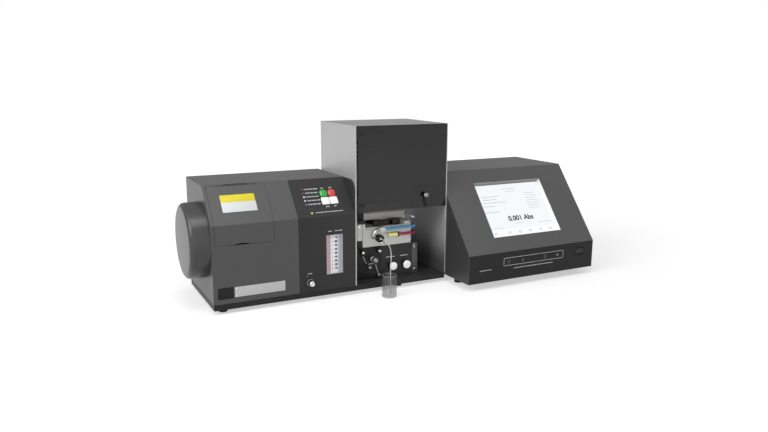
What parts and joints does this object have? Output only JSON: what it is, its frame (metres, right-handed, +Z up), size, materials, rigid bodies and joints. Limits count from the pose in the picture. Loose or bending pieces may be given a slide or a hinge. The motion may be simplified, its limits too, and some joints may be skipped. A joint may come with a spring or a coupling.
{
  "type": "atomic absorption spectrometer",
  "caption": "Bench flame spectrometer: sloped lamp cabinet with turret drum, burner tower with smoked door, and a console with a slanted screen.",
  "frame": {"origin": "on the bench under the middle of the whole instrument", "axes": "+Z up, front towards -Y, lamp cabinet at -X and console at +X"},
  "size_m": [1.045, 0.365, 0.409],
  "materials": {
    "painted_grey": "fine textured grey paint on sheet steel",
    "painted_dark": "satin dark grey paint on sheet steel",
    "black_base": "black paint on sheet steel",
    "rubber": "moulded black rubber",
    "drum_plastic": "satin grey moulding",
    "stainless": "brushed stainless sheet",
    "chrome": "plated turned metal",
    "smoked_acrylic": "clear smoked sheet",
    "white_plastic": "white moulding",
    "green_plastic": "green lens",
    "red_plastic": "red lens",
    "black_plastic": "black moulding",
    "clear_acrylic": "clear polished block",
    "led": "tinted clear lens",
    "lamp_glass": "clear lamp tube",
    "aluminium": "machined aluminium",
    "chamber_grey": "light grey moulded block",
    "burner_metal": "bead blasted metal",
    "blue_hose": "blue tube",
    "red_hose": "red tube",
    "capillary_plastic": "thin clear tube",
    "cup_glass": "clear cup",
    "bezel_plastic": "grey moulding",
    "display": "lit screen",
    "brass": "turned brass"
  },
  "bodies": {
    "chassis": {"base_tray": "black_base", "feet": "rubber", "cabinet_end_panel": "painted_grey", "cabinet_front_panel": "painted_grey", "cabinet_top_cover": "painted_grey", "cabinet_rear_panel": "painted_grey", "gas_panel": "painted_dark", "turret_cover": "drum_plastic", "lamp_bulkhead": "aluminium", "lid_hinge": "stainless", "flowmeter_block": "clear_acrylic", "status_leds": "led", "push_switches": "black_plastic", "trim_valve": "black_plastic", "tower_left_wall": "stainless", "tower_right_wall": "stainless", "tower_top": "stainless", "tower_back": "painted_grey", "door_hinges": "stainless", "gas_box": "painted_dark", "adjuster_bracket": "black_base", "guide_rods": "stainless", "sample_cup": "cup_glass", "console_cover": "painted_grey", "console_left_side": "painted_grey", "console_right_side": "painted_grey", "console_rear_panel": "painted_grey", "console_floor": "painted_grey", "display_bezel": "bezel_plastic", "display_panel": "display", "rocker_frame": "black_plastic", "monochromator": "aluminium", "cooling_fan": "black_plastic", "rear_inlets": "brass"},
    "turret": {"lamp_turret": "aluminium", "hollow_cathode_lamps": "lamp_glass"},
    "lid": {"lamp_lid": "painted_grey"},
    "fuel_float": {"fuel_float": "black_plastic"},
    "oxidant_float": {"oxidant_float": "black_plastic"},
    "green_button": {"green_button": "green_plastic"},
    "red_button": {"red_button": "red_plastic"},
    "white_button_left": {"white_button_left": "white_plastic"},
    "white_button_right": {"white_button_right": "white_plastic"},
    "trim_knob": {"trim_valve_knob": "chrome"},
    "door": {"tower_door": "smoked_acrylic", "door_leaves": "stainless"},
    "latch": {"door_latch": "chrome"},
    "fuel_knob": {"fuel_knob": "white_plastic"},
    "oxidant_knob": {"oxidant_knob": "white_plastic"},
    "carriage": {"spray_chamber": "chamber_grey", "burner_head": "burner_metal", "fuel_hose": "blue_hose", "oxidant_hose": "red_hose", "capillary": "capillary_plastic"},
    "clamp": {"clamp_ring": "black_plastic"},
    "nebuliser": {"nebuliser_cap": "black_plastic"},
    "adjuster": {"adjust_screw": "chrome"},
    "rocker": {"power_rocker": "black_plastic"},
    "grating": {"grating_table": "aluminium"},
    "fan": {"fan_rotor": "black_plastic"}
  },
  "joints": [
    {"name": "turret_turn", "type": "hinge", "parent": "chassis", "child": "turret", "pos_m": [-0.4275, 0.0165, 0.156], "axis": [1, 0, 0], "continuous": true},
    {"name": "lid_swing", "type": "hinge", "parent": "chassis", "child": "lid", "pos_m": [-0.4025, -0.00113, 0.279], "axis": [-1, 0, 0], "range_deg": [0, 135]},
    {"name": "fuel_float_rise", "type": "slide", "parent": "chassis", "child": "fuel_float", "axis": [0, 0, 1], "range_m": [0, 0.07]},
    {"name": "oxidant_float_rise", "type": "slide", "parent": "chassis", "child": "oxidant_float", "axis": [0, 0, 1], "range_m": [0, 0.07]},
    {"name": "green_button_press", "type": "slide", "parent": "chassis", "child": "green_button", "axis": [0, 0.7572, -0.6531], "range_m": [0, 0.0025], "stiffness_N_per_m": 500, "springref_m": -0.002},
    {"name": "red_button_press", "type": "slide", "parent": "chassis", "child": "red_button", "axis": [0, 0.7572, -0.6531], "range_m": [0, 0.0025], "stiffness_N_per_m": 500, "springref_m": -0.002},
    {"name": "white_button_left_press", "type": "slide", "parent": "chassis", "child": "white_button_left", "axis": [0, 0.7572, -0.6531], "range_m": [0, 0.0025], "stiffness_N_per_m": 500, "springref_m": -0.002},
    {"name": "white_button_right_press", "type": "slide", "parent": "chassis", "child": "white_button_right", "axis": [0, 0.7572, -0.6531], "range_m": [0, 0.0025], "stiffness_N_per_m": 500, "springref_m": -0.002},
    {"name": "trim_knob_turn", "type": "hinge", "parent": "chassis", "child": "trim_knob", "pos_m": [-0.2505, -0.0715, 0.047], "axis": [0, 1, 0], "range_deg": [0, 1080]},
    {"name": "door_swing", "type": "hinge", "parent": "chassis", "child": "door", "pos_m": [-0.1282, -0.0752, 0.305], "axis": [0, 0, -1], "range_deg": [0, 110]},
    {"name": "latch_turn", "type": "hinge", "parent": "door", "child": "latch", "pos_m": [0.056, -0.074, 0.2345], "axis": [0, 1, 0], "range_deg": [0, 90]},
    {"name": "fuel_knob_turn", "type": "hinge", "parent": "chassis", "child": "fuel_knob", "pos_m": [-0.0145, -0.0315, 0.051], "axis": [0, 1, 0], "range_deg": [0, 1080]},
    {"name": "oxidant_knob_turn", "type": "hinge", "parent": "chassis", "child": "oxidant_knob", "pos_m": [0.0245, -0.0315, 0.051], "axis": [0, 1, 0], "range_deg": [0, 1080]},
    {"name": "carriage_slide", "type": "slide", "parent": "chassis", "child": "carriage", "axis": [0, 1, 0], "range_m": [-0.006, 0.006]},
    {"name": "adjuster_turn", "type": "hinge", "parent": "chassis", "child": "adjuster", "pos_m": [-0.0705, -0.0375, 0.075], "axis": [0, 1, 0], "range_deg": [-545, 545]},
    {"name": "clamp_turn", "type": "hinge", "parent": "carriage", "child": "clamp", "pos_m": [-0.0195, 0.0165, 0.16], "axis": [0, 0, 1], "range_deg": [0, 60]},
    {"name": "nebuliser_turn", "type": "hinge", "parent": "carriage", "child": "nebuliser", "pos_m": [-0.0555, -0.0515, 0.128], "axis": [0, 1, 0], "range_deg": [-180, 180]},
    {"name": "rocker_tip", "type": "hinge", "parent": "chassis", "child": "rocker", "pos_m": [0.4755, -0.1775, 0.067], "axis": [1, 0, 0], "range_deg": [-10, 10]},
    {"name": "grating_turn", "type": "hinge", "parent": "chassis", "child": "grating", "pos_m": [0.2235, 0.0535, 0.166], "axis": [0, 0, 1], "range_deg": [-35, 35]},
    {"name": "fan_spin", "type": "hinge", "parent": "chassis", "child": "fan", "pos_m": [0.4515, 0.1495, 0.12], "axis": [0, 1, 0], "continuous": true}
  ],
  "couplings": [
    {"joint": "adjuster_turn", "follows": "carriage_slide", "rad_per_m": 1570.8}
  ]
}
